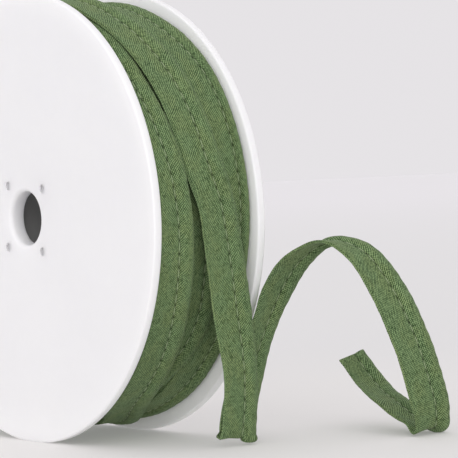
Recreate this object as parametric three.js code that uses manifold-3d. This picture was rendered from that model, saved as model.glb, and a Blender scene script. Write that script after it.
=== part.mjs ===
// A roll of piping trim: a flanged plastic spool, the trim wound on it, and the trim's loose end.
// Millimetres, +Z up. The spool's axis runs along Y, and the loose end lies towards +X and +Y.
// The origin is the centre of the bounding box, on the surface that the roll stands on.
import * as THREE from "three";
import { mergeVertices } from "three/addons/utils/BufferGeometryUtils.js";
import Module from "manifold-3d";

const wasm = await Module();
wasm.setup();

// Spool. Places along the axis are measured from the front rim's outer face.
const SPOOL_WIDTH = 32.2; // over the two rims
const FLANGE_RADIUS = 55;
const FLANGE_THICKNESS = 2.2;
const FLANGE_SEGMENTS = 72;
const RIM_ROUND = 0.5; // rounding of the rim's two edges
const FLAT_CHORD = 11; // length of the flat spot that each rim stands on
const DISH = 0.8; // how far the hub's face lies inside the rim's
const HUB_RADIUS = 16; // flat face round the bore
const BORE_RADIUS = 6.8;
const BORE_ROUND = 0.6;
const COLLAR_RADIUS = 8.7;
const COLLAR_DEPTH = 4; // from the hub's face to the collar's inner end
const DIMPLE_COUNT = 4;
const DIMPLE_CIRCLE = 10.8; // radius of the circle that the dimples lie on
const DIMPLE_TURN = -4; // degrees by which the dimples stand past the diagonals
const DIMPLE_RADIUS = 1.1; // at the hub's face
const DIMPLE_DEPTH = 1;
const DIMPLE_TAPER = 0.4; // share of its radius that a dimple loses at its bottom
const DIMPLE_SEGMENTS = 12;
const CORE_INNER = 9;
const CORE_OUTER = 12;
const CORE_SEGMENTS = 40;
const CLEARANCE = 0.3; // between neighbouring pieces

// Trim, in section: two flat plies to the left of the stitch line, a soft bead to its right.
const TRIM_WIDTH = 10.5;
const PLY_WIDTH = 6.4; // from the raw edge to the stitch line
const BEAD_WIDTH = TRIM_WIDTH - PLY_WIDTH;
const PLY_HALF = 0.3; // half the thickness of the two plies
const SEAM_HALF = 0.25; // the same where the stitches draw them in
const BEAD_HALF = 1.2; // half the bead's thickness
const SHOULDER_PLACE = 0.2; // the bead's shoulders, as a share of its width from its sides
const SHOULDER_HEIGHT = 0.8; // and as a share of its half thickness

// Winding. A turn's radius is that of the middle of its plies.
const CORE_LAYER = 49.8; // smooth surface under the outermost turns
const SLACK = 0.3; // how far the lower layer is drawn in underneath the roll
const SLACK_FROM = 0.6; // where the drawing in starts, as a share of the radius below the axis
const LAST_TURN_END = 4; // degrees above the horizontal, where the loose end begins
const END_STEP = 0.4; // degrees in which the surface rises at the last turn's cut end
const RING_STEPS = 90;
const ACROSS_STEPS = 26;

// Where the top layer lies, going back from the loose end over the top of the spool: degrees turned, the
// stitch line's millimetres from the front rim's face, and the radius. It crosses over underneath the roll.
const TOP_TURNS = [
  { turned: 0, stitch: 20.4, radius: 53.4 },
  { turned: 14, stitch: 17.6, radius: 53.4 },
  { turned: 36, stitch: 15.6, radius: 53.4 },
  { turned: 63, stitch: 12.2, radius: 53.4 },
  { turned: 90, stitch: 10.6, radius: 53.4 },
  { turned: 180, stitch: 15, radius: 53.4 },
  { turned: 230, stitch: 21, radius: 52.8 },
  { turned: 270, stitch: 23.5, radius: 52 },
  { turned: 280, stitch: 21, radius: 51.8 },
  { turned: 290, stitch: 16.8, radius: 51.2 },
  { turned: 300, stitch: 12.4, radius: 52 },
  { turned: 310, stitch: 10.8, radius: 52.8 },
  { turned: 325, stitch: 9.9, radius: 53.2 },
  { turned: 340, stitch: 8.8, radius: 53.2 },
  { turned: 358, stitch: 7.8, radius: 53.4 },
  { turned: 372, stitch: 6.7, radius: 53.4 },
  { turned: 400, stitch: 5, radius: 51.7 },
  { turned: 450, stitch: 4.6, radius: 51.7 },
];

// The lower layer's turns lie side by side, each as a ring: degrees round the axis, from -90 at the bottom.
const LOWER_TURNS = {
  front: [
    { turned: -90, stitch: 8.5, radius: 50.2 },
    { turned: 270, stitch: 8.5, radius: 50.2 },
  ],
  middle: [
    { turned: -90, stitch: 13, radius: 50.9 },
    { turned: -60, stitch: 12, radius: 50.9 },
    { turned: -33, stitch: 19, radius: 50.9 },
    { turned: 0, stitch: 17, radius: 50.9 },
    { turned: 180, stitch: 17, radius: 50.9 },
    { turned: 270, stitch: 13, radius: 50.9 },
  ],
  rear: [
    { turned: -90, stitch: 26, radius: 50.9 },
    { turned: -57, stitch: 25.5, radius: 51.2 },
    { turned: -38, stitch: 26.6, radius: 50.6 },
    { turned: 0, stitch: 27.5, radius: 51.5 },
    { turned: 38, stitch: 27.7, radius: 51.8 },
    { turned: 63, stitch: 24.4, radius: 51.8 },
    { turned: 100, stitch: 24, radius: 51.8 },
    { turned: 180, stitch: 26, radius: 51.2 },
    { turned: 270, stitch: 26, radius: 50.9 },
  ],
  last: [
    { turned: -90, stitch: 26.2, radius: 49.6 },
    { turned: 270, stitch: 26.2, radius: 49.6 },
  ],
};

// Loose end: the middle of the trim, from where it leaves the winding to its cut end.
// x is from the spool's axis, y from the front rim's face, z from the surface. turn and dip, in degrees,
// aim the trim's width: turned towards -X from +Y, and raised above the level.
const LOOSE_END = [
  { x: 53.4, y: 19, z: 57.2, turn: 4, dip: 8 },
  { x: 53.5, y: 20.3, z: 49, turn: 3, dip: 7 },
  { x: 53.3, y: 22.4, z: 32, turn: -1, dip: 5 },
  { x: 54, y: 23.4, z: 17, turn: 9.3, dip: 1.2 },
  { x: 53.9, y: 22.8, z: 7.1, turn: 7.1, dip: -3.1 },
  { x: 53.3, y: 22.6, z: 3.4, turn: 6.7, dip: -5.9 },
  { x: 52.4, y: 22.7, z: 2, turn: 4.9, dip: -11.4 },
  { x: 51.7, y: 23.1, z: 3.5, turn: 5.3, dip: -13.2 },
  { x: 51.1, y: 24.5, z: 7.6, turn: 7, dip: -14.5 },
  { x: 49.5, y: 29, z: 16.1, turn: 11.7, dip: -17.2 },
  { x: 50, y: 33.7, z: 26.7, turn: 21.7, dip: -15.3 },
  { x: 52.2, y: 37.2, z: 35.7, turn: 16.4, dip: -18.4 },
  { x: 57.3, y: 39.2, z: 42.5, turn: 23.1, dip: -15.7 },
  { x: 64, y: 43, z: 46.6, turn: 30.9, dip: -2.4 },
  { x: 70.9, y: 46.9, z: 43.9, turn: 19.3, dip: 10.6 },
  { x: 76, y: 50.7, z: 35, turn: 7.3, dip: 16.9 },
  { x: 79.1, y: 54.6, z: 23, turn: 1.9, dip: 17.8 },
  { x: 79.7, y: 57.9, z: 12.4, turn: -2.3, dip: 18.2 },
  { x: 78.8, y: 60.3, z: 5.9, turn: -3.8, dip: 16 },
  { x: 76.5, y: 61.8, z: 1.8, turn: 2, dip: 2.9 },
  { x: 72.2, y: 62.6, z: 2.1, turn: -2.1, dip: -11.5 },
  { x: 64, y: 62.7, z: 6.1, turn: -7.6, dip: -8 },
  { x: 54.8, y: 65.2, z: 8.9, turn: -0.9, dip: -8.6 },
  { x: 49.5, y: 66.4, z: 11.8, turn: 10.7, dip: 0.4 },
  { x: 45.7, y: 64.7, z: 17.3, turn: 20.9, dip: 13.2 },
];
const STEPS_PER_ROW = 4;

const AXIS_HEIGHT = Math.sqrt(FLANGE_RADIUS ** 2 - (FLAT_CHORD / 2) ** 2);
const SIDE = FLANGE_THICKNESS + CLEARANCE; // the winding's side, at the rim
const HUB_SIDE = SIDE + DISH; // the same at the hub

const WHITE_PLASTIC = new THREE.MeshStandardMaterial({ color: 0xf1f1f2, roughness: 0.45, metalness: 0 });
const GREY_PLASTIC = new THREE.MeshStandardMaterial({ color: 0x8a8a89, roughness: 0.6, metalness: 0 });
const GREEN_COTTON = new THREE.MeshStandardMaterial({ color: 0x66804f, roughness: 0.92, metalness: 0 });

const { degToRad: radians, lerp, mapLinear, smoothstep } = THREE.MathUtils;

function piece(name, geometry, material) {
  const mesh = new THREE.Mesh(geometry, material);
  mesh.name = name;
  return mesh;
}

// A closed geometry as a solid for cutting.
function solid(geometry) {
  const bare = geometry.index ? geometry.toNonIndexed() : geometry.clone();
  bare.deleteAttribute("normal");
  bare.deleteAttribute("uv");
  const merged = mergeVertices(bare, 1e-4);
  const vertProperties = merged.attributes.position.array;
  const triVerts = new Uint32Array(merged.index.array);
  return new wasm.Manifold(new wasm.Mesh({ numProp: 3, vertProperties, triVerts }));
}

function geometryOf(body) {
  const { vertProperties, triVerts } = body.getMesh();
  const geometry = new THREE.BufferGeometry();
  geometry.setAttribute("position", new THREE.BufferAttribute(new Float32Array(vertProperties), 3));
  geometry.setIndex(new THREE.BufferAttribute(new Uint32Array(triVerts), 1));
  return geometry;
}

// A ring turned round the Y axis from a closed profile of [radius, place along the axis].
function turnedRing(profile, segments) {
  const points = profile.map(([radius, along]) => new THREE.Vector2(radius, along));
  if (THREE.ShapeUtils.area(points) < 0) points.reverse();
  return new THREE.LatheGeometry([...points, points[0].clone()], segments);
}

// A skin over sections of the same number of points: a closed ring of them, or with a cap at each end.
function loft(sections, capOutline) {
  const count = sections[0].length;
  const spans = capOutline ? sections.length - 1 : sections.length;
  const index = [];
  for (let i = 0; i < spans; i++) {
    const here = i * count;
    const next = ((i + 1) % sections.length) * count;
    for (let j = 0; j < count; j++) {
      const k = (j + 1) % count;
      index.push(here + j, next + j, next + k);
      index.push(here + j, next + k, here + k);
    }
  }
  if (capOutline) {
    const last = spans * count;
    for (const [a, b, c] of THREE.ShapeUtils.triangulateShape(capOutline, [])) {
      index.push(a, c, b);
      index.push(last + a, last + b, last + c);
    }
  }
  const geometry = new THREE.BufferGeometry().setFromPoints(sections.flat());
  geometry.setIndex(index);
  return geometry;
}

// A profile's quarter-round corner, in three points that run away from the face at this place along the axis.
function corner(radius, along, radiusStep, alongStep) {
  const half = 1 - Math.SQRT1_2;
  return [
    [radius + radiusStep, along],
    [radius + radiusStep * half, along + alongStep * half],
    [radius, along + alongStep],
  ];
}

// A flange with its collar, as the front one: its outer face looks towards -Y.
function flange() {
  const profile = [
    ...corner(BORE_RADIUS, DISH, BORE_ROUND, BORE_ROUND).reverse(),
    [HUB_RADIUS, DISH],
    ...corner(FLANGE_RADIUS, 0, -RIM_ROUND, RIM_ROUND),
    ...corner(FLANGE_RADIUS, FLANGE_THICKNESS, -RIM_ROUND, -RIM_ROUND).reverse(),
    [HUB_RADIUS, DISH + FLANGE_THICKNESS],
    [COLLAR_RADIUS, DISH + FLANGE_THICKNESS],
    [COLLAR_RADIUS, DISH + COLLAR_DEPTH],
    [BORE_RADIUS, DISH + COLLAR_DEPTH],
  ];
  const ground = new THREE.BoxGeometry(FLANGE_RADIUS, SPOOL_WIDTH, FLANGE_RADIUS);
  ground.translate(0, 0, -AXIS_HEIGHT - FLANGE_RADIUS / 2);
  let body = solid(turnedRing(profile, FLANGE_SEGMENTS)).subtract(solid(ground));
  const drill = new THREE.CylinderGeometry(
    DIMPLE_RADIUS * (1 - DIMPLE_TAPER),
    DIMPLE_RADIUS * (1 + DIMPLE_TAPER),
    DIMPLE_DEPTH * 2,
    DIMPLE_SEGMENTS,
  );
  for (let i = 0; i < DIMPLE_COUNT; i++) {
    const angle = ((i + 0.5) * 2 * Math.PI) / DIMPLE_COUNT + radians(DIMPLE_TURN);
    const dimple = drill.clone();
    dimple.translate(DIMPLE_CIRCLE * Math.cos(angle), DISH, DIMPLE_CIRCLE * Math.sin(angle));
    body = body.subtract(solid(dimple));
  }
  return body;
}

function coreTube() {
  const front = HUB_SIDE;
  const rear = SPOOL_WIDTH - HUB_SIDE;
  const profile = [
    [CORE_INNER, front],
    [CORE_OUTER, front],
    [CORE_OUTER, rear],
    [CORE_INNER, rear],
  ];
  return turnedRing(profile, CORE_SEGMENTS);
}

// A column of a table at an angle turned, on straight lines between its rows.
function columnAt(rows, turned, column) {
  const next = rows.findIndex((row) => row.turned >= turned);
  if (next < 0) return rows[rows.length - 1][column];
  if (next === 0) return rows[0][column];
  const [a, b] = [rows[next - 1], rows[next]];
  return mapLinear(turned, a.turned, b.turned, a[column], b[column]);
}

// How far the trim's outer surface stands over the middle of its plies, at a distance from its stitch line.
function trimHeight(fromStitch) {
  if (fromStitch < -PLY_WIDTH || fromStitch > BEAD_WIDTH) return -Infinity;
  if (fromStitch < 0) return PLY_HALF;
  const across = (2 * fromStitch) / BEAD_WIDTH - 1;
  return Math.max(SEAM_HALF, BEAD_HALF * Math.sqrt(1 - across ** 2));
}

// The winding's radius at an angle round the axis, from -90 at the bottom to 270, and a place along it.
function windingRadius(angle, along) {
  const drawnIn = SLACK * smoothstep(-Math.sin(radians(angle)), SLACK_FROM, 1);
  let radius = CORE_LAYER - drawnIn;
  for (const ring of Object.values(LOWER_TURNS)) {
    const stitch = columnAt(ring, angle, "stitch");
    radius = Math.max(radius, columnAt(ring, angle, "radius") - drawnIn + trimHeight(along - stitch));
  }
  const start = TOP_TURNS[TOP_TURNS.length - 1].turned;
  for (const turned of [angle, angle + 360]) {
    if (turned <= LAST_TURN_END || turned > start) continue;
    const stitch = columnAt(TOP_TURNS, turned, "stitch");
    radius = Math.max(radius, columnAt(TOP_TURNS, turned, "radius") + trimHeight(along - stitch));
  }
  return radius;
}

// The wound trim as one ring, its last turn cut off square where the loose end begins.
function winding() {
  const angles = [LAST_TURN_END, LAST_TURN_END + END_STEP];
  for (let i = 1; i < RING_STEPS; i++) angles.push(LAST_TURN_END + (360 * i) / RING_STEPS);
  const inner = CORE_OUTER + CLEARANCE;
  const sections = angles.map((turned) => {
    const angle = turned > 270 ? turned - 360 : turned;
    const [level, up] = [Math.cos(radians(angle)), Math.sin(radians(angle))];
    const at = (radius, along) => new THREE.Vector3(radius * level, along, radius * up);
    const outline = [at(inner, HUB_SIDE), at(inner, SPOOL_WIDTH - HUB_SIDE)];
    for (let j = 0; j <= ACROSS_STEPS; j++) {
      const along = lerp(SPOOL_WIDTH - SIDE, SIDE, j / ACROSS_STEPS);
      outline.push(at(windingRadius(angle, along), along));
    }
    return outline;
  });
  return loft(sections);
}

// The trim's outline in section: x across its width from the middle, y through its thickness.
function trimOutline() {
  const right = TRIM_WIDTH / 2;
  const left = -right;
  const stitch = left + PLY_WIDTH;
  const shoulder = BEAD_WIDTH * SHOULDER_PLACE;
  const upper = [
    [left, PLY_HALF],
    [left + PLY_WIDTH / 2, PLY_HALF],
    [stitch, SEAM_HALF],
    [stitch + shoulder, BEAD_HALF * SHOULDER_HEIGHT],
    [stitch + BEAD_WIDTH / 2, BEAD_HALF],
    [right - shoulder, BEAD_HALF * SHOULDER_HEIGHT],
  ];
  const lower = upper.map(([x, y]) => [x, -y]).reverse();
  return [...upper, [right, 0], ...lower].map(([x, y]) => new THREE.Vector2(x, y));
}

// The loose end, swept along its table's rows and flat where it meets the surface.
function looseEnd() {
  const centres = new THREE.CatmullRomCurve3(LOOSE_END.map((row) => new THREE.Vector3(row.x, row.y, row.z)));
  const leans = new THREE.CatmullRomCurve3(LOOSE_END.map((row) => new THREE.Vector3(row.turn, row.dip, 0)));
  leans.curveType = "catmullrom";
  const outline = trimOutline();
  const steps = (LOOSE_END.length - 1) * STEPS_PER_ROW;
  const sections = [];
  for (let i = 0; i <= steps; i++) {
    const centre = centres.getPoint(i / steps);
    const tangent = centres.getTangent(i / steps);
    const lean = leans.getPoint(i / steps);
    const [turn, dip] = [radians(lean.x), radians(lean.y)];
    const width = new THREE.Vector3(-Math.sin(turn) * Math.cos(dip), Math.cos(turn) * Math.cos(dip), Math.sin(dip));
    width.addScaledVector(tangent, -tangent.dot(width)).normalize();
    const outward = new THREE.Vector3().crossVectors(tangent, width);
    const section = outline.map(({ x, y }) => {
      const point = centre.clone().addScaledVector(width, x).addScaledVector(outward, y);
      point.z = Math.max(point.z, 0);
      return point;
    });
    sections.push(section);
  }
  return loft(sections, outline);
}

const front = flange();
const rear = front.mirror([0, 1, 0]).translate([0, SPOOL_WIDTH, 0]);

const spool = new THREE.Group();
spool.add(piece("front_flange", geometryOf(front), WHITE_PLASTIC));
spool.add(piece("rear_flange", geometryOf(rear), WHITE_PLASTIC));
spool.add(piece("core_tube", coreTube(), GREY_PLASTIC));
spool.add(piece("winding", winding(), GREEN_COTTON));
spool.position.z = AXIS_HEIGHT;

const roll = new THREE.Group();
roll.add(spool);
roll.add(piece("loose_end", looseEnd(), GREEN_COTTON));

const box = new THREE.Box3().setFromObject(roll);
const middle = box.getCenter(new THREE.Vector3());
roll.position.set(-middle.x, -middle.y, -box.min.z);

export default roll;
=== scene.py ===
"""A roll of piping trim on a flanged spool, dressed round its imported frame.

Tables and sizes are in millimetres, and finished meshes are in metres. A place is given as x from
the spool's axis, y from the front rim's face and z from the surface that the roll stands on. The
trim's section is given as its distance across from the stitch line and its height over the middle
of its two plies.
"""

from __future__ import annotations

import logging
import math
from collections.abc import Mapping, Sequence
from dataclasses import dataclass, field
from enum import Enum

import bmesh
import bpy
from mathutils import Matrix, Vector, noise
from mathutils.geometry import interpolate_bezier

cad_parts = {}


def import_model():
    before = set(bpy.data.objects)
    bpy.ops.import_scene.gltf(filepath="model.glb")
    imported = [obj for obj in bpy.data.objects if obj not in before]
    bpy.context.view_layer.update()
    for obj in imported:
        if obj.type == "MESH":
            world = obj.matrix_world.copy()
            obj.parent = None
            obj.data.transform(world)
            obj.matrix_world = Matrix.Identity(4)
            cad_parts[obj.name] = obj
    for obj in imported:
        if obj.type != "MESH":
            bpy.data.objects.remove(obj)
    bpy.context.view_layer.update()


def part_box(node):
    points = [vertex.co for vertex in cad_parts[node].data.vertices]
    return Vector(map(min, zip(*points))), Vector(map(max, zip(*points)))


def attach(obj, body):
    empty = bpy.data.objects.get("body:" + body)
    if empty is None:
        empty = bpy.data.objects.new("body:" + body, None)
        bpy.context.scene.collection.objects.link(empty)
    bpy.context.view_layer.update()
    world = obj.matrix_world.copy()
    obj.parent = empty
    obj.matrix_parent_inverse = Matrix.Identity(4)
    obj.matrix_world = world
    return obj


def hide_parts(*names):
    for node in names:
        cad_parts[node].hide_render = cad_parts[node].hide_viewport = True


LOG = logging.getLogger("trim_roll")
MM = 0.001
CLOTH_MAP = "cloth"


class Slot(Enum):
    """The record's material slots."""

    WHITE_PLASTIC = "white_plastic"
    GREY_PLASTIC = "grey_plastic"
    GREEN_COTTON = "green_cotton"


class Side(Enum):
    """The two ends of the spool, by the way their outer faces look along its axis."""

    FRONT = -1
    REAR = 1


@dataclass(frozen=True)
class RollPlace:
    """Where the roll stands in the frame, in metres."""

    axis_x: float
    front_y: float
    axis_z: float

    @classmethod
    def of_frame(cls) -> RollPlace:
        """Read the spool's place from the box of its front flange."""
        low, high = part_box("front_flange")
        radius = (high.x - low.x) / 2
        return cls(low.x + radius, low.y, high.z - radius)

    @property
    def axis_height(self) -> float:
        """The axis's height over the surface, in millimetres."""
        return self.axis_z / MM

    def point(self, place: Vector) -> Vector:
        """Turn a place in millimetres into the frame's metres."""
        return Vector((self.axis_x + place.x * MM, self.front_y + place.y * MM, place.z * MM))


class Value:
    """A shader value: an expression on it adds its Math nodes."""

    def __init__(self, nodes: NodeMaker, socket: bpy.types.NodeSocket) -> None:
        """Keep the socket and the tree that it belongs to."""
        self.nodes = nodes
        self.socket = socket

    def math(self, operation: str, *operands: Value | float, first: bool = True) -> Value:
        """Add a Math node.

        Args:
            operation: The node's operation.
            operands: What it works on besides this value.
            first: Whether this value comes before the operands.

        Returns:
            The node's result.
        """
        values = (self, *operands) if first else (*operands, self)
        inputs = dict(enumerate(values))
        return self.nodes.value("ShaderNodeMath", {"operation": operation}, inputs)

    def __add__(self, other: Value | float) -> Value:
        """Add a value or number."""
        return self.math("ADD", other)

    __radd__ = __add__

    def __sub__(self, other: Value | float) -> Value:
        """Take away a value or number."""
        return self.math("SUBTRACT", other)

    def __rsub__(self, other: float) -> Value:
        """Take this value from a number."""
        return self.math("SUBTRACT", other, first=False)

    def __mul__(self, other: Value | float) -> Value:
        """Multiply by a value or number."""
        return self.math("MULTIPLY", other)

    __rmul__ = __mul__

    def __truediv__(self, other: Value | float) -> Value:
        """Divide by a value or number."""
        return self.math("DIVIDE", other)

    def __rtruediv__(self, other: float) -> Value:
        """Divide a number by this value."""
        return self.math("DIVIDE", other, first=False)

    def __gt__(self, other: Value | float) -> Value:
        """Give 1 where this value is the greater."""
        return self.math("GREATER_THAN", other)

    def __abs__(self) -> Value:
        """Drop the sign."""
        return self.math("ABSOLUTE")

    def sine(self) -> Value:
        """Take the sine of this value in radians."""
        return self.math("SINE")

    def floor(self) -> Value:
        """Round down."""
        return self.math("FLOOR")

    def fraction(self) -> Value:
        """Keep what is left after rounding down."""
        return self.math("FRACT")

    def power(self, exponent: float) -> Value:
        """Raise to a power."""
        return self.math("POWER", exponent)

    def step(self, low: float, high: float) -> Value:
        """Go smoothly from 0 at one number to 1 at another."""
        settings = {"interpolation_type": "SMOOTHSTEP"}
        return self.nodes.value("ShaderNodeMapRange", settings, {0: self, 1: low, 2: high})

    def choose(self, off: Value | float, on: Value | float) -> Value:
        """Mix two values by this one: 0 gives the first and 1 the second."""
        return self.nodes.value("ShaderNodeMix", {"data_type": "FLOAT"}, {0: self, 2: off, 3: on})


Colour = tuple[float, float, float, float]
Input = Value | float | tuple[float, ...]


class NodeMaker:
    """A material or world and the one method that adds nodes to it."""

    def __init__(self, tree: bpy.types.NodeTree) -> None:
        """Start from an empty tree."""
        self.tree = tree
        tree.nodes.clear()

    def node(
        self,
        kind: str,
        settings: Mapping[str, object] | None = None,
        inputs: Mapping[str | int, Input] | None = None,
    ) -> bpy.types.Node:
        """Add a node.

        Args:
            kind: The node's type.
            settings: Its own settings, which are made first.
            inputs: A number or link for each of its sockets that needs one.

        Returns:
            The new node.
        """
        made = self.tree.nodes.new(kind)
        for name, setting in (settings or {}).items():
            setattr(made, name, setting)
        for name, value in (inputs or {}).items():
            socket = made.inputs[name]
            if isinstance(value, Value):
                self.tree.links.new(value.socket, socket)
            else:
                socket.default_value = value
        return made

    def value(
        self,
        kind: str,
        settings: Mapping[str, object] | None = None,
        inputs: Mapping[str | int, Input] | None = None,
        output: str | int = 0,
    ) -> Value:
        """Add a node and give one of its outputs."""
        return Value(self, self.node(kind, settings, inputs).outputs[output])

    def mix(self, factor: Value, off: Value | Colour, on: Value | Colour) -> Value:
        """Mix two colours: a factor of 0 gives the first and 1 the second."""
        return self.value("ShaderNodeMix", {"data_type": "RGBA"}, {0: factor, 6: off, 7: on}, 2)

    def scaled(self, colour: Value, factor: Value | float) -> Value:
        """Make a colour darker or lighter."""
        inputs = {"Vector": colour, "Scale": factor}
        return self.value("ShaderNodeVectorMath", {"operation": "SCALE"}, inputs)

    def vector(self, x: Value | float, y: Value | float, z: Value | float = 0.0) -> Value:
        """Join three numbers into a vector."""
        return self.value("ShaderNodeCombineXYZ", None, {0: x, 1: y, 2: z})

    def split(self, vector: Value) -> tuple[Value, Value, Value]:
        """Split a vector into its three numbers."""
        parts = self.node("ShaderNodeSeparateXYZ", None, {0: vector})
        x, y, z = (Value(self, socket) for socket in parts.outputs)
        return x, y, z

    def noise(self, place: Value, scale: float, detail: float = 2.0, roughness: float = 0.5) -> Value:
        """Add a noise texture, whose values lie mostly between 0.3 and 0.7."""
        inputs = {"Vector": place, "Scale": scale, "Detail": detail, "Roughness": roughness}
        return self.value("ShaderNodeTexNoise", None, inputs)

    def object_place(self) -> Value:
        """Read the place on the piece, in metres."""
        return self.value("ShaderNodeTexCoord", output="Object")

    def bump(self, height: Value, distance: float, strength: float = 1.0) -> Value:
        """Turn a height into a bumped normal; the distance is what a height of 1 is, in metres."""
        inputs = {"Strength": strength, "Distance": distance, "Height": height}
        return self.value("ShaderNodeBump", None, inputs)

    def surface(self, inputs: Mapping[str | int, Input]) -> None:
        """Close the tree with a Principled shader and the output."""
        shader = self.value("ShaderNodeBsdfPrincipled", None, inputs)
        self.node("ShaderNodeOutputMaterial", None, {"Surface": shader})


def new_material(name: str) -> tuple[bpy.types.Material, NodeMaker]:
    """Make an empty node material and the maker of its nodes."""
    material = bpy.data.materials.new(name)
    material.use_nodes = True
    return material, NodeMaker(material.node_tree)


def smoothstep(value: float, low: float, high: float) -> float:
    """Go smoothly from 0 at one number to 1 at another."""
    share = min(max((value - low) / (high - low), 0.0), 1.0)
    return share * share * (3 - 2 * share)


def between(rows: Sequence[tuple[float, float]], at: float) -> float:
    """Read a table of (place, value) rows on straight lines between them.

    Args:
        rows: The table, in rising order of place.
        at: The place to read.

    Returns:
        The value there, or the nearest row's outside the table.
    """
    if at <= rows[0][0]:
        return rows[0][1]
    for (a, first), (b, second) in zip(rows, rows[1:]):
        if at <= b:
            return first + (second - first) * (at - a) / (b - a)
    return rows[-1][1]


def smoothed(rows: Sequence[tuple[float, float]], at: float) -> float:
    """Read such a table by degrees turned, as the mean of five places near each other."""
    return sum(between(rows, at + shift) for shift in (-6, -3, 0, 3, 6)) / 5


@dataclass(frozen=True)
class TrimSection:
    """The trim cut across: two plies of cloth, folded round a soft cord and stitched beside it."""

    stitch_pitch: float = 3.1
    raw_edge: float = 6.4
    bead_width: float = 4.1
    middle: float = 1.15  # from the middle of the whole width to the stitch line
    upper: tuple[tuple[float, float], ...] = (
        *((-5.6, 0.0), (-6.4, 0.03), (-6.4, 0.22), (-6.32, 0.27), (-5.6, 0.28), (-4.6, 0.28)),
        *((-3.6, 0.28), (-2.6, 0.28), (-1.7, 0.28), (-0.95, 0.28), (-0.5, 0.26), (-0.25, 0.22)),
        *((0.0, 0.17), (0.22, 0.27), (0.42, 0.53), (1.0, 0.95), (1.81, 1.17), (2.65, 1.16)),
        *((3.4, 0.96), (3.87, 0.65), (4.06, 0.33), (4.1, 0.0)),
    )

    @property
    def outline(self) -> list[tuple[float, float]]:
        """The closed outline, from the slit between the plies, over the bead and back to the slit."""
        lower = [(across, -height) for across, height in reversed(self.upper[:-1])]
        return [*self.upper, *lower]

    @property
    def unrolled(self) -> list[float]:
        """The distance over the cloth from the slit to each point of the outline."""
        points = self.outline
        total = 0.0
        places = [total]
        for (a, b), (c, d) in zip(points, points[1:]):
            total += math.hypot(c - a, d - b)
            places.append(total)
        return places

    @property
    def fold(self) -> float:
        """The distance over the cloth from the slit to the bead's outer edge."""
        return self.unrolled[len(self.upper) - 1]

    @property
    def seam(self) -> float:
        """The distance over the cloth from the bead's outer edge to the stitch line."""
        stitch = [across for across, _ in self.upper].index(0.0)
        return self.fold - self.unrolled[stitch]


@dataclass
class Station:
    """One place along the trim: its frame, and the room beside its stitch line."""

    middle: Vector
    along: float
    width: Vector
    outward: Vector
    left_room: float = math.inf
    right_room: float = math.inf


class Wave(Enum):
    """The cloth's separate waverings: the length of each and its own number."""

    EDGE_HEIGHT = (8, 1)
    EDGE_GAPE = (3, 2)
    EDGE_BEND = (2.2, 3)
    EDGE_FRAY = (0.7, 4)
    CORD = (3.5, 5)
    PLY = (30, 6)


@dataclass(frozen=True)
class TrimShape:
    """How the cloth departs from its plain section: a wavy edge, pulled stitches, an uneven cord."""

    section: TrimSection
    edge_wave: float = 0.1  # how far the raw edge's height wanders
    edge_fray: float = 0.06  # how far the raw edge wanders across
    edge_gape: float = 0.05  # how far the plies part at the raw edge
    edge_from: float = 5.0  # where the raw edge begins, from the stitch line
    ply_offset: float = 0.3  # how far the inner ply's edge stands out past the outer's
    ply_from: float = 6.0
    ply_heights: tuple[float, float] = (4, 12)  # between these over the surface it comes out
    pucker: float = 0.05
    pucker_reach: float = 0.9
    needle_pit: float = 0.05
    needle_reach: float = 0.5
    seam_reach: float = 0.45
    cord_change: float = 0.015
    cord_pull: float = 0.02  # how much a stitch thins the cord
    cord_spread: float = 0.6  # the share of a bulge that goes across
    least_bead: float = 0.3  # the share of its width that a squeezed bead keeps
    swell: float = 0.7  # how much a squeezed bead thickens
    turn_in: float = 0.8  # how far cloth that meets a flange turns in
    seed: float = 0.0

    def wander(self, station: Station, wave: Wave) -> float:
        """Read one of the waverings at a station, mostly between -0.5 and 0.5."""
        length, row = wave.value
        return noise.noise(station.middle / length + Vector((self.seed, row * 7.3, -row * 3.1)))

    def placed(self, across: float, height: float, station: Station) -> Vector:
        """Place one point of the section's outline.

        Args:
            across: Its distance from the stitch line.
            height: Its height over the middle of the plies.
            station: The place along the trim.

        Returns:
            The point, in millimetres.
        """
        section = self.section
        phase = (station.along / section.stitch_pitch + 0.5) % 1 - 0.5
        from_needle = abs(phase) * section.stitch_pitch
        side = 1 if height >= 0 else -1
        near_seam = math.exp(-((across / self.seam_reach) ** 2))
        near_needle = math.exp(-((from_needle / self.needle_reach) ** 2))
        height -= side * self.needle_pit * near_seam * near_needle
        pull = math.cos(2 * math.pi * phase)
        if across <= 0:
            flap = -across / section.raw_edge
            fading = math.exp(across / self.pucker_reach)
            height -= side * self.pucker * pull * fading * (1 - near_seam)
            height += self.edge_wave * 2 * flap * flap * self.wander(station, Wave.EDGE_HEIGHT)
            if across < -self.edge_from:
                height += side * self.edge_gape * (0.5 + self.wander(station, Wave.EDGE_GAPE))
                bend = self.wander(station, Wave.EDGE_BEND)
                across += self.edge_fray * (bend + self.wander(station, Wave.EDGE_FRAY))
            if across < -self.ply_from and side < 0:
                lifted = smoothstep(station.middle.z, *self.ply_heights)
                across -= self.ply_offset * lifted * (1 + self.wander(station, Wave.PLY))
        else:
            change = self.cord_change * 2 * self.wander(station, Wave.CORD)
            bulge = 1 + change - self.cord_pull * pull
            height *= bulge
            across *= 1 + (bulge - 1) * self.cord_spread
        if across > 0 and station.right_room < section.bead_width:
            squeezed = max(station.right_room / section.bead_width, self.least_bead)
            across *= squeezed
            height *= 1 + self.swell * (1 - squeezed)
        if across < -station.left_room:
            over = -station.left_room - across
            across = -station.left_room
            height -= self.turn_in * over
        offset = (across + section.middle) * station.width + height * station.outward
        return station.middle + offset


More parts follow.
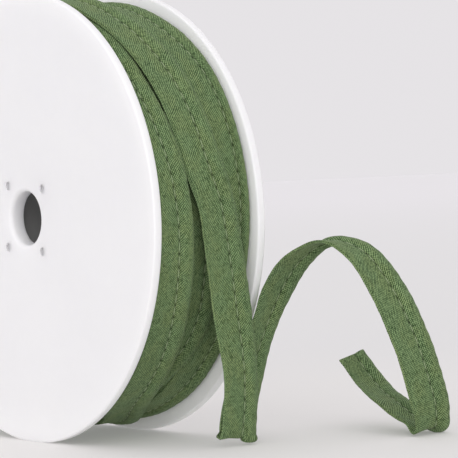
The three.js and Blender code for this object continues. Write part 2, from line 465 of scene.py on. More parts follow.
@dataclass
class TrimPath:
    """A smooth path of the trim's middle through knots, each with the direction of the trim's width."""

    knots: list[tuple[Vector, Vector]]
    dense: list[tuple[Vector, Vector]] = field(default_factory=list)
    lengths: list[float] = field(default_factory=list)
    fineness: int = 16

    def __post_init__(self) -> None:
        """Work out closely spaced points and the length of the path up to each."""
        places = [knot[0] for knot in self.knots]
        widths = [knot[1] for knot in self.knots]
        places = [2 * places[0] - places[1], *places, 2 * places[-1] - places[-2]]
        widths = [widths[0], *widths, widths[-1]]
        for i in range(1, len(places) - 2):
            handles = self.handles(*places[i - 1 : i + 3])
            curve = interpolate_bezier(*handles, self.fineness + 1)
            before, here, there, after = widths[i - 1 : i + 3]
            turns = (here, here + (there - before) / 6, there - (after - here) / 6, there)
            sides = interpolate_bezier(*turns, self.fineness + 1)
            pairs = list(zip(curve, sides))
            self.dense.extend(pairs if i == 1 else pairs[1:])
        self.lengths = [0.0]
        for (a, _), (b, _) in zip(self.dense, self.dense[1:]):
            self.lengths.append(self.lengths[-1] + (b - a).length)

    @staticmethod
    def handles(before: Vector, here: Vector, there: Vector, after: Vector) -> tuple[Vector, ...]:
        """Turn one span of a centripetal Catmull-Rom curve into Bezier points.

        Args:
            before: The knot before the span.
            here: The knot where the span starts.
            there: The knot where it ends.
            after: The knot after it.

        Returns:
            The span's two ends with the two handles between them.
        """
        d1 = math.sqrt((here - before).length)
        d2 = math.sqrt((there - here).length)
        d3 = math.sqrt((after - there).length)
        first = d1 * d1 * there - d2 * d2 * before + (2 * d1 * d1 + 3 * d1 * d2 + d2 * d2) * here
        second = d3 * d3 * here - d2 * d2 * after + (2 * d3 * d3 + 3 * d3 * d2 + d2 * d2) * there
        return here, first / (3 * d1 * (d1 + d2)), second / (3 * d3 * (d3 + d2)), there

    def read(self, length: float, start: int = 0) -> tuple[Vector, Vector, int]:
        """Read the path at a length from its start.

        Args:
            length: The length along it.
            start: A dense point known to lie before that length.

        Returns:
            The middle, the width's direction, and the dense point before the place.
        """
        last = len(self.lengths) - 2
        while start < last and self.lengths[start + 1] < length:
            start += 1
        share = (length - self.lengths[start]) / (self.lengths[start + 1] - self.lengths[start])
        (place, side), (next_place, next_side) = self.dense[start], self.dense[start + 1]
        return place.lerp(next_place, share), side.lerp(next_side, share), start

    def length_at(self, knot: int) -> float:
        """Give the path's length up to a knot."""
        return self.lengths[knot * self.fineness]

    def stations(self, first: float, last: float, zero: float, step: float) -> list[Station]:
        """Cut a stretch of the path into even stations.

        Args:
            first: The length where the stretch starts.
            last: The length where it ends.
            zero: The length from which the stitches are counted.
            step: About how far apart the stations are.

        Returns:
            The stations, with their frames.
        """
        count = max(2, round((last - first) / step))
        rows: list[tuple[float, Vector, Vector]] = []
        start = 0
        for i in range(count + 1):
            length = first + (last - first) * i / count
            place, side, start = self.read(min(length, self.lengths[-1] - 1e-6), start)
            rows.append((length, place, side))
        made = []
        for i, (length, place, side) in enumerate(rows):
            ahead = rows[min(i + 1, count)][1]
            behind = rows[max(i - 1, 0)][1]
            forward = (ahead - behind).normalized()
            width = (side - side.dot(forward) * forward).normalized()
            made.append(Station(place, length - zero, width, forward.cross(width)))
        return made


@dataclass(frozen=True)
class LowerTurn:
    """A turn under the outermost layer: its radii and its stitch line's places, by degrees turned."""

    name: str
    radii: tuple[tuple[float, float], ...]
    stitches: tuple[tuple[float, float], ...]


@dataclass(frozen=True)
class LooseRow:
    """One row of the loose end: the trim's middle, and the two angles that aim its width."""

    x: float
    y: float
    z: float
    turn: float
    dip: float

    def knot(self) -> tuple[Vector, Vector]:
        """Give the row's place and the direction of the trim's width."""
        turn, dip = math.radians(self.turn), math.radians(self.dip)
        level = math.cos(dip)
        width = Vector((-math.sin(turn) * level, math.cos(turn) * level, math.sin(dip)))
        return Vector((self.x, self.y, self.z)), width


@dataclass(frozen=True)
class CottonFinish:
    """Bias-cut cotton in a plain weave, with its seam, needle holes and raw edge; its colour holds
    painted shade in the weave's hollows, the seam's groove and the needle holes, and a painted
    highlight on the threads' tops.
    """

    section: TrimSection
    painted_gap_shade: Colour = (0.022, 0.05, 0.016, 1.0)  # painted shade between the threads
    lit_crown: Colour = (0.24, 0.35, 0.162, 1.0)  # on top of a thread, with a painted highlight
    # the thread tops' colour with its painted highlight, warmer where the blotches fall
    warm_lit_crown: Colour = (0.25, 0.34, 0.148, 1.0)
    thread_pitch: float = 0.43
    warp_share: float = 0.62  # the warp stands out more than the weft
    warp_sway: float = 2.5  # how many threads' widths the warp wanders
    weft_sway: float = 1.5
    # how strongly the weave's height paints shade into its hollows and a highlight onto its crowns
    contrast: float = 2.3
    mean_height: float = 0.64
    mean_light: float = 0.45
    tone_change: float = 2.9  # how much one thread's tone differs from the next one's
    blotch_change: float = 0.3
    # The raw edge is paler: partly its frayed thread ends, partly painted light on the cut edge's side.
    raw_light: float = 0.35
    groove_shade: float = 0.3
    hole_shade: float = 0.6
    hole_reach: tuple[float, float] = (0.01, 0.08)  # squares of the distances from the needle
    groove_reach: tuple[float, float] = (0.1, 0.5)
    raw_reach: tuple[float, float] = (1.1, 0.7)  # distances from the slit between the plies
    roughness: float = 0.92
    sheen: float = 0.12
    bump_depth: float = 0.07

    def material(self, name: str) -> bpy.types.Material:
        """Make the material.

        Args:
            name: Its name.

        Returns:
            The material, which reads the piece's cloth map in millimetres.
        """
        material, nodes = new_material(name)
        place = nodes.value("ShaderNodeUVMap", {"uv_map": CLOTH_MAP})
        u, v, _ = nodes.split(place)
        sway = nodes.noise(nodes.vector(u * 0.25, v * 0.25, 3.0), 1.0, 1.0) - 0.5
        diagonal = math.sqrt(2) * self.thread_pitch
        warp = (u + v) / diagonal + self.warp_sway * sway
        weft = (u - v) / diagonal - self.weft_sway * sway
        warp_wave = (warp * math.pi).sine()
        weft_wave = (weft * math.pi).sine()
        height = self.warp_share * abs(warp_wave) + (1 - self.warp_share) * abs(weft_wave)
        warp_tone = nodes.noise(nodes.vector(warp.floor() * 1.37, weft * 0.8), 1.0, 2.0)
        weft_tone = nodes.noise(nodes.vector(weft.floor() * 1.71, warp * 0.8, 5.0), 1.0, 2.0)
        tone = (warp_wave * weft_wave > 0.0).choose(weft_tone, warp_tone)
        blotch = nodes.noise(nodes.vector(u * 0.22, v * 0.12, 2.0), 1.0, 3.0, 0.6)

        fold, seam = self.section.fold, self.section.seam
        from_fold = abs(u - fold)
        from_seam = abs(from_fold - seam)
        phase = (v / self.section.stitch_pitch + 0.5).fraction() - 0.5
        from_needle = abs(phase) * self.section.stitch_pitch
        hole = 1 - (from_seam * from_seam + from_needle * from_needle).step(*self.hole_reach)
        groove = 1 - from_seam.step(*self.groove_reach)
        raw = from_fold.step(*(fold - reach for reach in self.raw_reach))

        # Painted shade and highlight from the weave's height, plus the threads' own tones and blotches.
        light = self.contrast * (height - self.mean_height) + self.tone_change * (tone - 0.5)
        light = light + self.blotch_change * (blotch - 0.5) + self.mean_light
        lit_crown = nodes.mix(blotch.step(0.4, 0.62), self.lit_crown, self.warm_lit_crown)
        colour = nodes.mix(light + self.raw_light * raw, self.painted_gap_shade, lit_crown)
        shade = (1 - self.groove_shade * groove) * (1 - self.hole_shade * hole)
        colour = nodes.scaled(colour, shade)
        normal = nodes.bump(height + 0.5 * tone - 1.5 * hole, self.bump_depth * MM, 0.8)
        inputs = {
            "Base Color": colour,
            "Roughness": self.roughness - 0.1 * tone,
            "Normal": normal,
            "Specular IOR Level": 0.15,
            "Sheen Weight": self.sheen,
            "Sheen Roughness": 0.45,
            "Sheen Tint": (0.75, 0.85, 0.62, 1.0),
        }
        nodes.surface(inputs)
        return material


@dataclass(frozen=True)
class ThreadFinish:
    """Sewing thread, a little paler and smoother than the cloth."""

    tint: Colour = (0.42, 0.52, 0.3, 1.0)
    shade: Colour = (0.2, 0.27, 0.12, 1.0)

    def material(self, name: str) -> bpy.types.Material:
        """Make the material with its fine twist."""
        material, nodes = new_material(name)
        place = nodes.object_place()
        x, y, z = nodes.split(place)
        twist = abs(((x + y * 2 + z) * (math.pi / 0.00025)).sine())
        patch = nodes.noise(place, 900.0, 2.0)
        # Painted shade in the twist's grooves, mixed with the thread's own patchy tone.
        colour = nodes.mix(0.6 * twist + 0.4 * patch, self.shade, self.tint)
        inputs = {
            "Base Color": colour,
            "Roughness": 0.75 - 0.15 * twist,
            "Normal": nodes.bump(twist, 0.03 * MM),
            "Sheen Weight": 0.2,
        }
        nodes.surface(inputs)
        return material


@dataclass(frozen=True)
class PlasticFinish:
    """Moulded plastic with a fine grain, a slight unevenness and light wear."""

    tint: Colour
    shade: Colour
    roughness: float = 0.42
    grain_depth: float = 0.012
    depth_share: float = 0.0  # how much of the light passes under the surface
    depth: float = 4.0

    def material(self, name: str) -> bpy.types.Material:
        """Make the material.

        Args:
            name: Its name.

        Returns:
            The material, which reads the place on the piece.
        """
        material, nodes = new_material(name)
        place = nodes.object_place()
        grain = nodes.noise(place, 2600.0, 3.0, 0.6)
        flow = nodes.noise(place, 34.0, 3.0, 0.55)
        scuff = nodes.noise(place, 420.0, 4.0, 0.7)
        colour = nodes.mix((flow - 0.5) * 1.6 + 0.5 * scuff + 0.2, self.tint, self.shade)
        inputs = {
            "Base Color": colour,
            "Roughness": self.roughness + 0.16 * (flow - 0.5) + 0.12 * (scuff - 0.5),
            "Normal": nodes.bump(grain + 6 * flow, self.grain_depth * MM, 0.7),
            "IOR": 1.52,
            "Specular IOR Level": 0.4,
            "Subsurface Weight": self.depth_share,
            "Subsurface Radius": (1.0, 1.0, 0.95),
            "Subsurface Scale": self.depth * MM,
        }
        nodes.surface(inputs)
        return material


@dataclass(frozen=True)
class StageFinish:
    """Pale matt floor with painted light: lighter close round the roll, to lift its shadow, a little
    darker further out, and lighter far away from the roll, where its tone meets the studio's glow.
    """

    # painted light that lifts the shadow close round the roll
    under: Colour = (0.85, 0.835, 0.818, 1.0)
    near: Colour = (0.79, 0.785, 0.785, 1.0)
    far: Colour = (0.855, 0.84, 0.862, 1.0)
    under_reach: tuple[float, float] = (0.05, 0.26)
    far_reach: tuple[float, float] = (0.2, 3.6)
    glow: float = 0.2  # painted light: the floor glows a little to lift the shadows near the roll
    share: float = 0.735  # what is left for the light on it

    def material(self, name: str) -> bpy.types.Material:
        """Make the material."""
        material, nodes = new_material(name)
        x, y, _ = nodes.split(nodes.object_place())
        radius = (x * x + y * y).power(0.5)
        colour = nodes.mix(radius.step(*self.under_reach), self.under, self.near)
        colour = nodes.mix(radius.step(*self.far_reach), colour, self.far)
        inputs = {
            "Base Color": nodes.scaled(colour, self.share),
            "Roughness": 0.9,
            "Specular IOR Level": 0.1,
            "Emission Color": (1.0, 0.985, 0.985, 1.0),
            "Emission Strength": self.glow,
        }
        nodes.surface(inputs)
        return material


def spin_round(
    shape: bmesh.types.BMesh, profile: Sequence[Vector], centre: Vector, steps: int
) -> None:
    """Spin a closed profile once round an axis along Y.

    Args:
        shape: The bmesh that the ring is added to.
        profile: The profile's corners in their order.
        centre: A point on the axis.
        steps: How many steps make the whole turn.
    """
    verts = [shape.verts.new(corner) for corner in profile]
    edges = [shape.edges.new(ends) for ends in zip(verts, verts[1:] + verts[:1])]
    bmesh.ops.spin(
        shape,
        geom=[*verts, *edges],
        cent=centre,
        axis=(0, 1, 0),
        dvec=(0, 0, 0),
        angle=2 * math.pi,
        steps=steps,
        use_merge=True,
    )


def add_piece(
    name: str,
    shape: bmesh.types.BMesh,
    material: bpy.types.Material,
    sharp_over: float | None = None,
) -> bpy.types.Object:
    """Turn a finished bmesh into an object at the origin.

    Args:
        name: The object's name.
        shape: The bmesh, which is freed.
        material: Its finish.
        sharp_over: The angle in degrees over which edges stay sharp, or None to keep the bmesh's.

    Returns:
        The new object.
    """
    mesh = bpy.data.meshes.new(name)
    shape.to_mesh(mesh)
    shape.free()
    mesh.materials.append(material)
    mesh.shade_smooth()
    if sharp_over is not None:
        mesh.set_sharp_from_angle(angle=math.radians(sharp_over))
    made = bpy.data.objects.new(name, mesh)
    bpy.context.scene.collection.objects.link(made)
    return made


def declare(piece: bpy.types.Object, slot: Slot, *nodes: str) -> None:
    """Give a piece its body, and hide the CAD nodes that it stands for.

    Args:
        piece: The finished piece.
        slot: The slot that it takes its finish from; not used.
        nodes: The CAD nodes that it replaces.
    """
    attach(piece, "root")
    if nodes:
        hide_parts(*nodes)
    LOG.info("%s: %d faces", piece.name, len(piece.data.polygons))


@dataclass
class Trim:
    """The trim as it is wound on the spool and as its loose end lies."""

    place: RollPlace
    section: TrimSection = field(default_factory=TrimSection)
    slack: float = 0.3  # how far the lower turns are drawn in underneath the roll
    slack_from: float = 0.6
    front_wall: float = 2.6
    rear_wall: float = 29.6
    knot_step: int = 6  # degrees between the knots of the wound stretch
    first_turned: int = 9  # the last wound knot before the loose end, in degrees turned
    last_turned: int = 777
    strip_step: float = 3.1 / 6
    ring_step: float = 3.1 / 4
    lowest: float = 0.03  # the cloth's lowest points over the surface
    under_radius: float = 48.7
    under_ridge: float = 0.7
    under_ridges: int = 4
    core_radius: float = 12.3
    stitch_radius: float = 0.12
    stitch_flatness: float = 0.8
    stitch_gap: float = 0.4  # from a needle hole to the thread's end
    stitch_lift: float = 0.2
    top_stitches: tuple[tuple[float, float], ...] = (
        *((0, 20.4), (14, 17.6), (36, 15.6), (63, 12.2), (90, 10.6), (180, 15.0), (230, 21.0)),
        *((270, 23.5), (280, 21.0), (290, 16.8), (300, 12.4), (310, 10.8), (325, 9.9)),
        *((340, 8.8), (358, 7.8), (393, 5.0), (450, 4.6), (480, 7.0), (520, 8.5), (780, 8.5)),
    )
    top_radii: tuple[tuple[float, float], ...] = (
        *((180, 53.4), (230, 52.8), (270, 52.0), (280, 51.8), (290, 51.2), (300, 52.0)),
        *((310, 52.8), (325, 53.2), (340, 53.2), (358, 53.4), (372, 53.4), (400, 51.7)),
        *((440, 51.7), (485, 50.2), (600, 50.0), (640, 49.2), (690, 49.4), (780, 49.5)),
    )
    lower_turns: tuple[LowerTurn, ...] = (
        LowerTurn(
            "middle",
            ((-90, 50.9), (270, 50.9)),
            ((-90, 13), (-60, 12), (-33, 19), (0, 17), (180, 17), (270, 13)),
        ),
        LowerTurn(
            "rear",
            (
                *((-90, 50.9), (-57, 51.2), (-38, 50.6), (0, 51.5), (38, 51.8)),
                *((100, 51.8), (180, 51.2), (270, 50.9)),
            ),
            (
                *((-90, 26), (-57, 25.5), (-38, 26.6), (0, 27.5), (38, 27.7)),
                *((63, 24.4), (100, 24), (180, 26), (270, 26)),
            ),
        ),
        LowerTurn("last", ((-90, 49.6), (270, 49.6)), ((-90, 26.2), (270, 26.2))),
    )
    loose_rows: tuple[LooseRow, ...] = tuple(
        LooseRow(*row)
        for row in (
            (53.4, 19, 57.2, 4, 8),
            (53.5, 20.3, 49, 3, 7),
            (53.3, 22.4, 32, -1, 5),
            (54, 23.4, 17, 9.3, 1.2),
            (53.9, 22.8, 7.1, 7.1, -3.1),
            (53.3, 22.6, 3.4, 6.7, -5.9),
            (52.4, 22.7, 2, 4.9, -11.4),
            (51.7, 23.1, 3.5, 5.3, -13.2),
            (51.1, 24.5, 7.6, 7, -14.5),
            (49.5, 29, 16.1, 11.7, -17.2),
            (50, 33.7, 26.7, 21.7, -15.3),
            (52.2, 37.2, 35.7, 16.4, -18.4),
            (57.3, 39.2, 42.5, 23.1, -15.7),
            (64, 43, 46.6, 30.9, -2.4),
            (70.9, 46.9, 43.9, 19.3, 10.6),
            (76, 50.7, 35, 7.3, 16.9),
            (79.1, 54.6, 23, 1.9, 17.8),
            (79.7, 57.9, 12.4, -2.3, 18.2),
            (78.8, 60.3, 5.9, -3.8, 16),
            (76.5, 61.8, 1.8, 2, 2.9),
            (72.2, 62.6, 2.1, -2.1, -11.5),
            (64, 62.7, 6.1, -7.6, -8),
            (54.8, 65.2, 8.9, -0.9, -8.6),
            (49.5, 66.4, 11.8, 10.7, 0.4),
            (45.7, 64.7, 17.3, 20.9, 13.2),
        )
    )
    flat_size: tuple[float, float] = (0.0105, 0.2035)  # in metres

    def drawn_in(self, angle: float) -> float:
        """Give how far a lower turn is drawn in at an angle round the axis, in degrees."""
        return self.slack * smoothstep(-math.sin(math.radians(angle)), self.slack_from, 1.0)

    def wound_knot(self, turned: float, radius: float, stitch: float) -> tuple[Vector, Vector]:
        """Give a knot of a wound turn.

        Args:
            turned: Degrees round the axis.
            radius: The radius of the middle of its plies.
            stitch: Where its stitch line lies along the axis.

        Returns:
            The middle of its width, and the width's direction.
        """
        angle = math.radians(turned)
        height = self.place.axis_height + radius * math.sin(angle)
        middle = Vector((radius * math.cos(angle), stitch - self.section.middle, height))
        return middle, Vector((0, 1, 0))

    def between_walls(self, stations: list[Station]) -> list[Station]:
        """Give wound stations the room that the flanges leave beside their stitch lines."""
        for station in stations:
            stitch = station.middle.y + self.section.middle
            station.left_room = stitch - self.front_wall
            station.right_room = self.rear_wall - stitch
        return stations

    def outer_path(self) -> tuple[TrimPath, float]:
        """Lay the outermost two turns and the loose end on one path.

        Returns:
            The path, and its length up to the place where the trim leaves the winding.
        """
        knots = []
        for turned in range(self.last_turned, self.first_turned - 1, -self.knot_step):
            radius = between(self.top_radii, turned)
            knots.append(self.wound_knot(turned, radius, between(self.top_stitches, turned)))
        wound = len(knots)
        knots.extend(row.knot() for row in self.loose_rows)
        path = TrimPath(knots)
        return path, path.length_at(wound)

    def ring_stations(self, turn: LowerTurn) -> list[Station]:
        """Lay one lower turn as a closed ring with a whole number of stitches.

        Args:
            turn: The turn.

        Returns:
            Its stations; the first follows the last.
        """
        circumference = 2 * math.pi * between(turn.radii, 0)
        per_stitch = round(self.section.stitch_pitch / self.ring_step)
        count = round(circumference / self.section.stitch_pitch) * per_stitch
        middles = []
        for i in range(count):
            turned = 270 - 360 * i / count
            stitch = smoothed(turn.stitches, turned)
            radius = smoothed(turn.radii, turned) - self.drawn_in(turned)
            middles.append(self.wound_knot(turned, radius, stitch)[0])
        made = []
        for i, middle in enumerate(middles):
            forward = (middles[(i + 1) % count] - middles[i - 1]).normalized()
            side = Vector((0, 1, 0))
            width = (side - side.dot(forward) * forward).normalized()
            along = i * self.section.stitch_pitch / per_stitch
            made.append(Station(middle, along, width, forward.cross(width)))
        return self.between_walls(made)

    def strip(self, stations: Sequence[Station], shape: TrimShape, closed: bool) -> bmesh.types.BMesh:
        """Sweep the section along stations.

        Args:
            stations: The places along the trim.
            shape: How the cloth lies.
            closed: Whether the last station is followed by the first.

        Returns:
            The closed mesh, with a map of the cloth in millimetres.
        """
        outline, unrolled = self.section.outline, self.section.unrolled
        columns = len(outline)
        rows = [*stations, stations[0]] if closed else list(stations)
        alongs = [station.along for station in rows]
        if closed:
            alongs[-1] = 2 * alongs[-2] - alongs[-3]
        shape_mesh = bmesh.new()
        bmesh.ops.create_grid(shape_mesh, x_segments=columns - 1, y_segments=len(rows) - 1, size=1)
        for vertex in shape_mesh.verts:
            row, column = divmod(vertex.index, columns)
            across, height = outline[column]
            spot = shape.placed(across, height, rows[row])
            spot.z = max(spot.z, self.lowest)
            vertex.co = self.place.point(spot)
        cloth = shape_mesh.loops.layers.uv.new(CLOTH_MAP)
        for face in shape_mesh.faces:
            for loop in face.loops:
                row, column = divmod(loop.vert.index, columns)
                loop[cloth].uv = (unrolled[column], alongs[row])
        bmesh.ops.remove_doubles(shape_mesh, verts=shape_mesh.verts, dist=1e-7)
        rims = [edge for edge in shape_mesh.edges if edge.is_boundary]
        if rims:
            for edge in rims:
                edge.smooth = False
            bmesh.ops.holes_fill(shape_mesh, edges=rims, sides=0)
        bmesh.ops.recalc_face_normals(shape_mesh, faces=shape_mesh.faces)
        return shape_mesh

    def stitches(self, stations: Sequence[Station], both_sides: bool) -> bmesh.types.BMesh:
        """Lay a short thread between each two needle holes.

        Args:
            stations: The places along the trim.
            both_sides: Whether the threads on the inner side show too.

        Returns:
            The threads' mesh.
        """
        pitch = self.section.stitch_pitch
        half = pitch / 2 - self.stitch_gap
        depth = self.stitch_radius * self.stitch_flatness
        stretch = Matrix.Diagonal((self.stitch_radius, half, depth, 1 / MM)) * MM
        threads = bmesh.new()
        first, last = stations[0].along, stations[-1].along
        step = (last - first) / (len(stations) - 1)
        for k in range(math.ceil(first / pitch), math.floor(last / pitch)):
            index = round(((k + 0.5) * pitch - first) / step)
            station = stations[min(max(index, 0), len(stations) - 1)]
            forward = station.width.cross(station.outward)
            lean = Matrix((station.width, forward, station.outward)).transposed().to_4x4()
            for side in (1, -1) if both_sides else (1,):
                across = self.section.middle * station.width
                offset = across + side * self.stitch_lift * station.outward
                spot = self.place.point(station.middle + offset)
                bmesh.ops.create_uvsphere(
                    threads,
                    u_segments=6,
                    v_segments=5,
                    radius=1,
                    matrix=Matrix.Translation(spot) @ lean @ stretch,
                )
        bmesh.ops.recalc_face_normals(threads, faces=threads.faces)
        return threads

    def under_turns(self) -> bmesh.types.BMesh:
        """Spin the turns that the two outer layers hide, with the ridges that their sides leave.

        Returns:
            The closed ring's mesh.
        """
        profile = [(self.core_radius, self.front_wall + 1), (self.core_radius, self.rear_wall - 1)]
        width = self.rear_wall - self.front_wall
        count = 24
        for i in range(count + 1):
            share = i / count
            ridge = abs(math.sin(share * math.pi * self.under_ridges))
            radius = self.under_radius - self.under_ridge + self.under_ridge * ridge
            profile.append((radius, self.rear_wall - width * share))
        height = self.place.axis_height
        corners = [self.place.point(Vector((radius, y, height))) for radius, y in profile]
        centre = self.place.point(Vector((0, 0, height)))
        made = bmesh.new()
        spin_round(made, corners, centre, 120)
        cloth = made.loops.layers.uv.new(CLOTH_MAP)
        for face in made.faces:
            for loop in face.loops:
                spot = (loop.vert.co - centre) / MM
                loop[cloth].uv = (3 + spot.y * 0.1, math.atan2(spot.z, spot.x) * self.under_radius)
        bmesh.ops.recalc_face_normals(made, faces=made.faces)
        return made

    def dress(
        self,
        name: str,
        shape: bmesh.types.BMesh,
        material: bpy.types.Material,
        *nodes: str,
        sharp_over: float | None = None,
    ) -> bpy.types.Object:
        """Add a piece of the trim.

        Args:
            name: The piece's name.
            shape: Its bmesh.
            material: Its finish.
            nodes: The CAD nodes that it replaces.
            sharp_over: The angle in degrees over which its edges stay sharp, if any.

        Returns:
            The declared piece.
        """
        piece = add_piece(name, shape, material, sharp_over)
        declare(piece, Slot.GREEN_COTTON, *nodes)
        return piece

    def build(self) -> None:
        """Build and dress the winding and the loose end."""
        cotton = CottonFinish(self.section).material("green_cotton_piping")
        thread = ThreadFinish().material("green_sewing_thread")
        path, leave = self.outer_path()
        wound = self.between_walls(path.stations(0.0, leave, leave, self.strip_step))
        loose = path.stations(leave, path.lengths[-1], leave, self.strip_step)
        LOG.info("loose end: %.1f mm of trim", loose[-1].along)

        shape = TrimShape(self.section, edge_wave=0.06)
        self.dress("wound_top_turns", self.strip(wound, shape, False), cotton, "winding")
        self.dress("wound_top_seam", self.stitches(wound, False), thread, "winding")
        for number, turn in enumerate(self.lower_turns):
            ring = self.ring_stations(turn)
            shape = TrimShape(self.section, seed=11.0 * (number + 1))
            name = f"wound_{turn.name}"
            self.dress(f"{name}_turn", self.strip(ring, shape, True), cotton, "winding")
            self.dress(f"{name}_seam", self.stitches(ring, False), thread, "winding")
        self.dress("wound_under_turns", self.under_turns(), cotton, "winding", sharp_over=50)

        shape = TrimShape(self.section, edge_wave=0.12, edge_fray=0.09, cord_change=0.02)
        end = self.dress("loose_end_cloth", self.strip(loose, shape, False), cotton, "loose_end")
        end_seam = self.dress("loose_end_seam", self.stitches(loose, True), thread)


@dataclass
class Spool:
    """The plastic spool: two flanges with their hubs, and the tube between them."""

    place: RollPlace
    width: float = 32.2
    radius: float = 55.0
    thickness: float = 2.2
    rim_round: float = 0.5
    dish: float = 0.8
    hub_radius: float = 16.0
    bore_radius: float = 6.6
    bore_round: float = 1.1
    collar_radius: float = 8.7
    collar_depth: float = 4.0
    dimple_circle: float = 10.8
    dimple_turn: float = -4.0  # degrees by which the dimples stand past the diagonals
    dimple_radius: float = 1.05
    dimple_flare: tuple[float, float] = (0.4, 1.6)  # shares of the radius at the drill's two ends
    dimple_depth: float = 0.9
    tube_inner: float = 9.0
    tube_outer: float = 12.0
    clearance: float = 0.3
    small_round: float = 0.3
    sharp_over: float = 32.0
    steps: int = 192

    def along(self, depth: float, side: Side) -> float:
        """Turn a depth from a rim's outer face into a place along the axis."""
        return depth if side is Side.FRONT else self.width - depth

    def spun(self, profile: Sequence[tuple[float, float]], side: Side) -> bmesh.types.BMesh:
        """Spin a closed profile of (radius, depth from the rim's outer face) round the spool's axis.

        Args:
            profile: The profile.
            side: The end of the spool that it belongs to.

        Returns:
            The ring, in millimetres with the axis on Y and the origin on the front rim's face.
        """
        made = bmesh.new()
        corners = [Vector((radius, self.along(depth, side), 0)) for radius, depth in profile]
        spin_round(made, corners, Vector(), self.steps)
        bmesh.ops.recalc_face_normals(made, faces=made.faces)
        return made

    def round_edges(
        self, made: bmesh.types.BMesh, radius: float, depth: float, side: Side, by: float
    ) -> None:
        """Round the ring of edges at one corner of the profile.

        Args:
            made: The spun ring.
            radius: The corner's radius from the axis.
            depth: Its depth from the rim's outer face.
            side: The end of the spool that it belongs to.
            by: How far the rounding reaches.
        """
        along = self.along(depth, side)

        def on_corner(vertex: bmesh.types.BMVert) -> bool:
            """Say whether a vertex lies on the corner's circle."""
            from_axis = math.hypot(vertex.co.x, vertex.co.z)
            return abs(from_axis - radius) < 1e-3 and abs(vertex.co.y - along) < 1e-3

        ring = [edge for edge in made.edges if all(on_corner(vertex) for vertex in edge.verts)]
        bmesh.ops.bevel(
            made,
            geom=ring,
            offset=by,
            offset_type="OFFSET",
            segments=5,
            profile=0.5,
            affect="EDGES",
            clamp_overlap=False,
            material=-1,
        )

    def stand(self, made: bmesh.types.BMesh) -> bmesh.types.BMesh:
        """Cut the flat spot that a rim stands on, and move a flange to its place in metres.

        Args:
            made: The flange in millimetres round the axis.

        Returns:
            The same bmesh.
        """
        ground = -self.place.axis_height
        bmesh.ops.bisect_plane(
            made,
            geom=[*made.verts, *made.edges, *made.faces],
            dist=1e-4,
            plane_co=(0, 0, ground),
            plane_no=(0, 0, -1),
            clear_outer=True,
        )
        rims = [edge for edge in made.edges if edge.is_boundary]
        bmesh.ops.holes_fill(made, edges=rims, sides=0)
        bmesh.ops.remove_doubles(made, verts=made.verts, dist=1e-4)
        self.move(made)
        bmesh.ops.recalc_face_normals(made, faces=made.faces)
        return made

    def move(self, made: bmesh.types.BMesh) -> None:
        """Take a mesh from millimetres round the axis to its place in the frame."""
        matrix = Matrix.Translation((self.place.axis_x, self.place.front_y, self.place.axis_z))
        bmesh.ops.transform(made, matrix=matrix @ Matrix.Diagonal((MM, MM, MM, 1)), verts=made.verts)

    def dimpled(self, flange: bpy.types.Object, side: Side) -> None:
        """Sink the four small dimples into a hub's face.

        Args:
            flange: The finished flange.
            side: The end of the spool that it belongs to.
        """
        drill = bmesh.new()
        face = self.along(self.dish, side)
        circle = self.dimple_circle
        narrow, wide = self.dimple_flare
        for quarter in range(4):
            angle = math.radians(45 + 90 * quarter + self.dimple_turn)
            spot = (circle * math.cos(angle), face, circle * math.sin(angle))
            lean = Matrix.Translation(spot) @ Matrix.Rotation(math.radians(90) * side.value, 4, "X")
            bmesh.ops.create_cone(
                drill,
                cap_ends=True,
                segments=24,
                radius1=self.dimple_radius * narrow,
                radius2=self.dimple_radius * wide,
                depth=self.dimple_depth * 2,
                matrix=lean,
            )
        self.move(drill)
        cutter = add_piece("dimple_drill", drill, flange.data.materials[0])
        cut = flange.modifiers.new("dimples", "BOOLEAN")
        cut.object = cutter
        cut.operation = "DIFFERENCE"
        cut.solver = "EXACT"
        graph = bpy.context.evaluated_depsgraph_get()
        finished = bpy.data.meshes.new_from_object(flange.evaluated_get(graph))
        flange.modifiers.remove(cut)
        flange.data = finished
        finished.name = flange.name
        finished.set_sharp_from_angle(angle=math.radians(self.sharp_over))
        bpy.data.objects.remove(cutter)

    def flange(self, name: str, side: Side, finish: bpy.types.Material) -> None:
        """Build one flange with its collar.

        Args:
            name: The CAD node that it replaces.
            side: Its end of the spool.
            finish: Its material.
        """
        hub_inner = self.dish + self.thickness
        collar_end = self.dish + self.collar_depth
        profile = [
            (self.bore_radius, self.dish),
            (self.hub_radius, self.dish),
            (self.radius, 0),
            (self.radius, self.thickness),
            (self.hub_radius, hub_inner),
            (self.collar_radius, hub_inner),
            (self.collar_radius, collar_end),
            (self.bore_radius, collar_end),
        ]
        rounded = (
            (self.bore_radius, self.dish, self.bore_round),
            (self.radius, 0, self.rim_round),
            (self.radius, self.thickness, self.rim_round),
            (self.bore_radius, collar_end, self.small_round),
        )
        made = self.spun(profile, side)
        for radius, depth, by in rounded:
            self.round_edges(made, radius, depth, side, by)
        piece = add_piece(f"{name}_moulding", self.stand(made), finish, self.sharp_over)
        self.dimpled(piece, side)
        declare(piece, Slot.WHITE_PLASTIC, name)

    def core(self, finish: bpy.types.Material) -> None:
        """Build the tube between the flanges."""
        start = self.dish + self.thickness + self.clearance
        end = self.width - start
        profile = [
            (self.tube_inner, start),
            (self.tube_outer, start),
            (self.tube_outer, end),
            (self.tube_inner, end),
        ]
        made = self.spun(profile, Side.FRONT)
        for radius in (self.tube_inner, self.tube_outer):
            for depth in (start, end):
                self.round_edges(made, radius, depth, Side.FRONT, self.small_round)
        self.move(made)
        bmesh.ops.recalc_face_normals(made, faces=made.faces)
        tube = add_piece("core_tube_moulding", made, finish, self.sharp_over)
        declare(tube, Slot.GREY_PLASTIC, "core_tube")

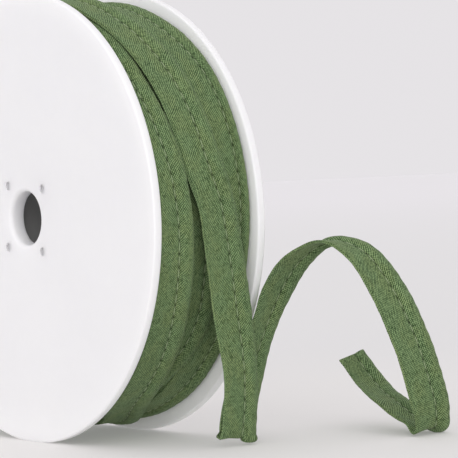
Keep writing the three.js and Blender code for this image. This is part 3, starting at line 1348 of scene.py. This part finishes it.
    def build(self) -> None:
        """Build and dress the spool."""
        white = PlasticFinish(
            (0.93, 0.93, 0.935, 1.0), (0.89, 0.89, 0.9, 1.0), depth_share=0.6
        ).material("white_polystyrene")
        grey = PlasticFinish(
            (0.26, 0.26, 0.255, 1.0), (0.22, 0.22, 0.216, 1.0), roughness=0.6
        ).material("grey_polystyrene")
        self.flange("front_flange", Side.FRONT, white)
        self.flange("rear_flange", Side.REAR, white)
        self.core(grey)


@dataclass(frozen=True)
class Softbox:
    """A broad lamp far away: where it stands, how wide it looks in degrees, and its strength."""

    name: str
    toward: tuple[float, float, float]
    angle: float
    strength: float

    def hang(self) -> None:
        """Add the lamp to the scene."""
        data = bpy.data.lights.new(self.name, "SUN")
        data.energy = self.strength
        data.angle = math.radians(self.angle)
        lamp = bpy.data.objects.new(self.name, data)
        lamp.rotation_euler = Vector(self.toward).to_track_quat("Z", "Y").to_euler()
        bpy.context.scene.collection.objects.link(lamp)


@dataclass(frozen=True)
class Studio:
    """The floor, the light and the camera at the photograph's place."""

    place: RollPlace
    eye: tuple[float, float, float] = (463.4, -296.1, 10.1)  # from the axis at the front rim's face
    heading: float = 52.16
    pitch: float = 1.56
    roll: float = 2.59
    lens: float = 175.94
    sensor: float = 36.0
    floor_radius: float = 9.0
    sky: float = 0.79
    sky_tint: tuple[float, float, float] = (1.0, 0.975, 1.0)
    softboxes: tuple[Softbox, ...] = (
        Softbox("main_softbox", (0.8, -0.6, 0.3), 60, 0.95),
        Softbox("front_softbox", (0.3, -1.0, 0.6), 90, 0.38),
    )

    def camera(self) -> None:
        """Place the camera."""
        data = bpy.data.cameras.new("camera")
        data.sensor_width = self.sensor
        data.lens = self.lens
        data.clip_start = 0.01
        data.clip_end = 30
        made = bpy.data.objects.new("camera", data)
        turn = Matrix.Rotation(math.radians(self.heading), 4, "Z")
        tip = Matrix.Rotation(math.radians(90 - self.pitch), 4, "X")
        lean = Matrix.Rotation(math.radians(-self.roll), 4, "Z")
        x, y, z = self.eye
        spot = self.place.point(Vector((x, y, self.place.axis_height + z)))
        made.matrix_world = Matrix.Translation(spot) @ turn @ tip @ lean
        bpy.context.scene.collection.objects.link(made)
        bpy.context.scene.camera = made

    def floor(self) -> None:
        """Lay the floor."""
        made = bmesh.new()
        bmesh.ops.create_circle(made, cap_ends=True, radius=self.floor_radius, segments=96)
        bmesh.ops.recalc_face_normals(made, faces=made.faces)
        floor = add_piece("studio_floor", made, StageFinish().material("studio_paper"))

    def light(self) -> None:
        """Light the scene softly from all round, and more from the camera's side and the front."""
        world = bpy.data.worlds.new("studio")
        world.use_nodes = True
        bpy.context.scene.world = world
        nodes = NodeMaker(world.node_tree)
        tint = (*self.sky_tint, 1.0)
        glow = nodes.value("ShaderNodeBackground", None, {"Color": tint, "Strength": self.sky})
        nodes.node("ShaderNodeOutputWorld", None, {"Surface": glow})
        for softbox in self.softboxes:
            softbox.hang()

    def build(self) -> None:
        """Set up the floor, the light and the camera."""
        bpy.context.scene.view_settings.view_transform = "Standard"
        self.floor()
        self.light()
        self.camera()


def main() -> None:
    """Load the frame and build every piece."""
    logging.basicConfig(level=logging.INFO, format="%(message)s")
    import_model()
    place = RollPlace.of_frame()
    Studio(place).build()
    Spool(place).build()
    Trim(place).build()


if __name__ == "__main__":
    main()
